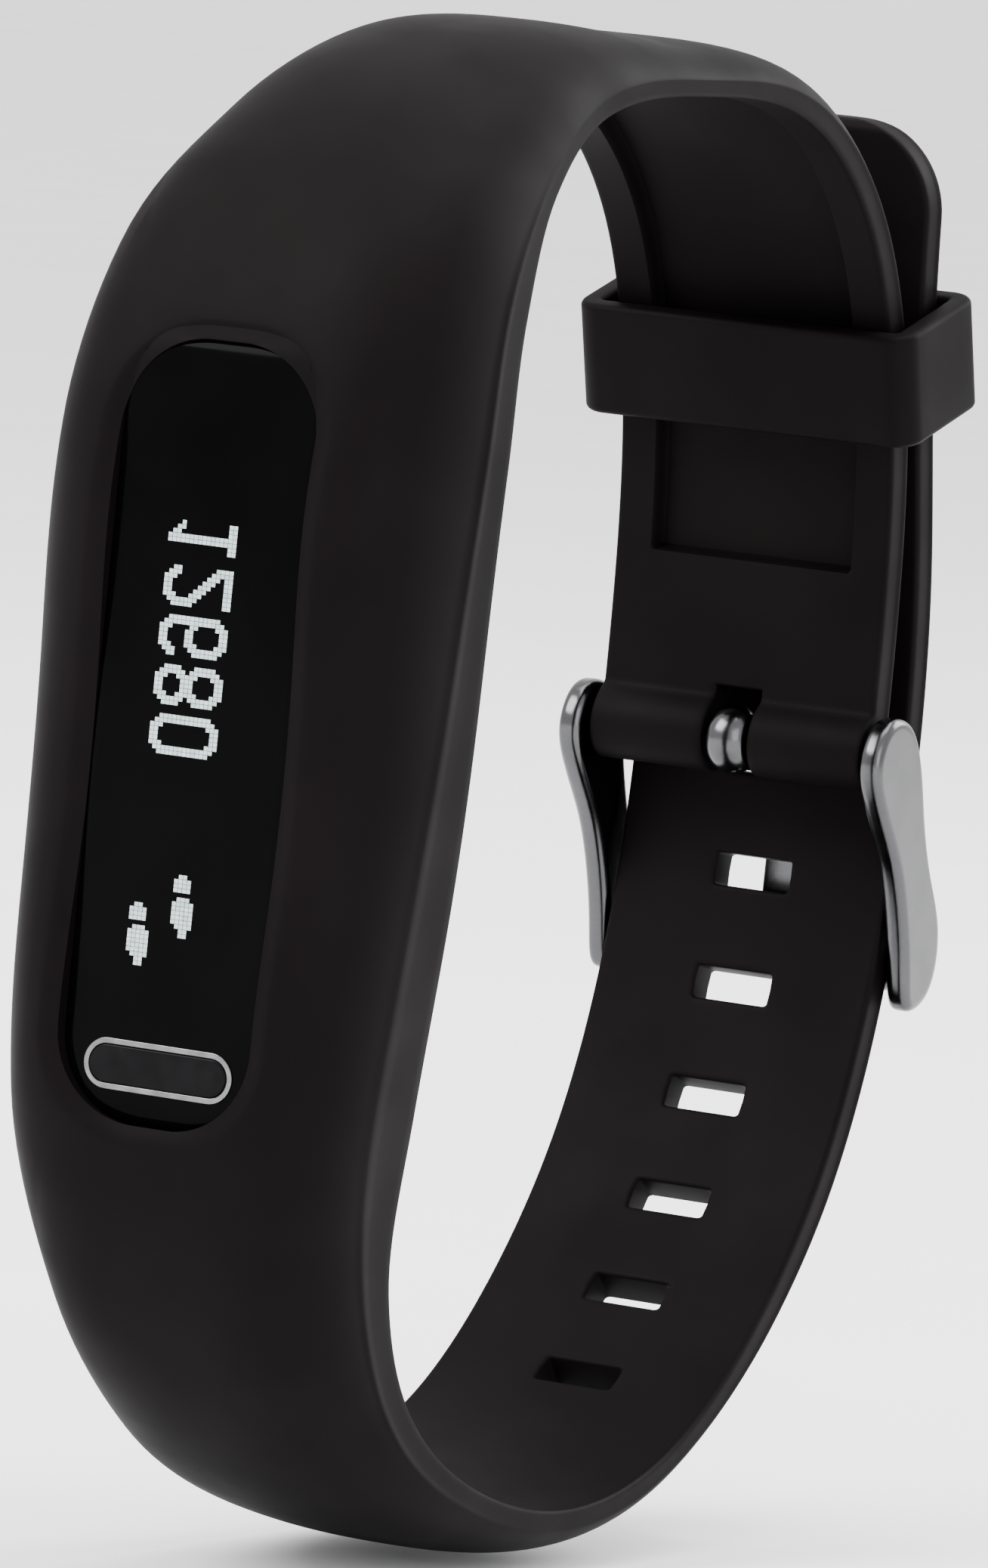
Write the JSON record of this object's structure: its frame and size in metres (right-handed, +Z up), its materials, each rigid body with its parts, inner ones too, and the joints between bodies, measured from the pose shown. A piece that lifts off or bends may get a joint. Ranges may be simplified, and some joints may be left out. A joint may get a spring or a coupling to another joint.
{
  "type": "activity tracker wristband",
  "caption": "Buckled black silicone wristband holding a slim removable activity tracker with a smoked display window and an oblong chrome-ringed button.",
  "frame": {"origin": "centre of the wrist opening, on the band's plane of symmetry", "axes": "+X along the wrist through the opening, -Y towards the tracker's face, +Z up along the tracker, from its button to the other end"},
  "size_m": [0.0252, 0.0762, 0.0874],
  "materials": {
    "silicone_black": "matte moulded silicone",
    "polished_steel": "polished, flat sides finely brushed",
    "bar_steel": "ground",
    "spring_steel": "drawn wire",
    "case_black": "fine moulded texture",
    "smoked_window": "high gloss, smoked",
    "trim_chrome": "polished",
    "button_black": "gloss",
    "seal_rubber": "matte",
    "contact_gold": "plated, satin",
    "display_glass": "polished",
    "adhesive_black": "matte",
    "carrier_plastic": "matte",
    "flex_polyimide": "satin",
    "board_laminate": "solder mask, satin",
    "chip_resin": "moulded resin",
    "shield_can": "tinned",
    "connector_plastic": "matte",
    "switch_plastic": "matte",
    "motor_steel": "pressed",
    "pad_foam": "foam",
    "battery_foil": "foil pouch"
  },
  "bodies": {
    "wristband": {"band": "silicone_black", "spring_bar_tube": "bar_steel", "spring_bar_spring": "spring_steel"},
    "tracker": {"front_case": "case_black", "rear_case": "case_black", "charging_contacts": "contact_gold", "case_gasket": "seal_rubber", "display_window": "smoked_window", "button_trim_ring": "trim_chrome", "button_seal": "seal_rubber", "switch_body": "switch_plastic", "window_adhesive": "adhesive_black", "oled_panel": "display_glass", "display_carrier": "carrier_plastic", "display_flex": "flex_polyimide", "display_connector": "connector_plastic", "main_board": "board_laminate", "microcontroller": "chip_resin", "radio_module": "shield_can", "accelerometer": "chip_resin", "pressure_sensor": "shield_can", "vibration_motor": "motor_steel", "battery_pad": "pad_foam", "battery_cell": "battery_foil"},
    "button": {"button_cap": "button_black"},
    "plunger": {"switch_plunger": "switch_plastic"},
    "keeper": {"keeper_loop": "silicone_black"},
    "buckle": {"buckle_frame": "polished_steel"},
    "tang": {"buckle_tang": "polished_steel"},
    "pin_left": {"spring_bar_pin_left": "bar_steel"},
    "pin_right": {"spring_bar_pin_right": "bar_steel"}
  },
  "joints": [
    {"name": "tracker_release", "type": "slide", "parent": "wristband", "child": "tracker", "axis": [0, 1, 0], "range_m": [0, 0.012]},
    {"name": "button_press", "type": "slide", "parent": "tracker", "child": "button", "axis": [0, 1, 0], "range_m": [0, 0.0003], "stiffness_N_per_m": 6000},
    {"name": "switch_press", "type": "slide", "parent": "tracker", "child": "plunger", "axis": [0, 1, 0], "range_m": [0, 0.0003]},
    {"name": "keeper_slide", "type": "slide", "parent": "wristband", "child": "keeper", "axis": [0, -0.2079, 0.9781], "range_m": [-0.004, 0.0005]},
    {"name": "buckle_swing", "type": "hinge", "parent": "wristband", "child": "buckle", "pos_m": [0, 0.028, 0.002], "axis": [1, 0, 0], "range_deg": [0, 5]},
    {"name": "tang_swing", "type": "hinge", "parent": "buckle", "child": "tang", "pos_m": [0, 0.028, 0.002], "axis": [1, 0, 0], "range_deg": [0, 2]},
    {"name": "pin_left_slide", "type": "slide", "parent": "wristband", "child": "pin_left", "axis": [1, 0, 0], "range_m": [0, 0.0012], "deforming": ["spring_bar_spring"]},
    {"name": "pin_right_slide", "type": "slide", "parent": "wristband", "child": "pin_right", "axis": [-1, 0, 0], "range_m": [0, 0.0012], "deforming": ["spring_bar_spring"]}
  ],
  "couplings": [
    {"joint": "switch_press", "follows": "button_press", "ratio": 1}
  ]
}
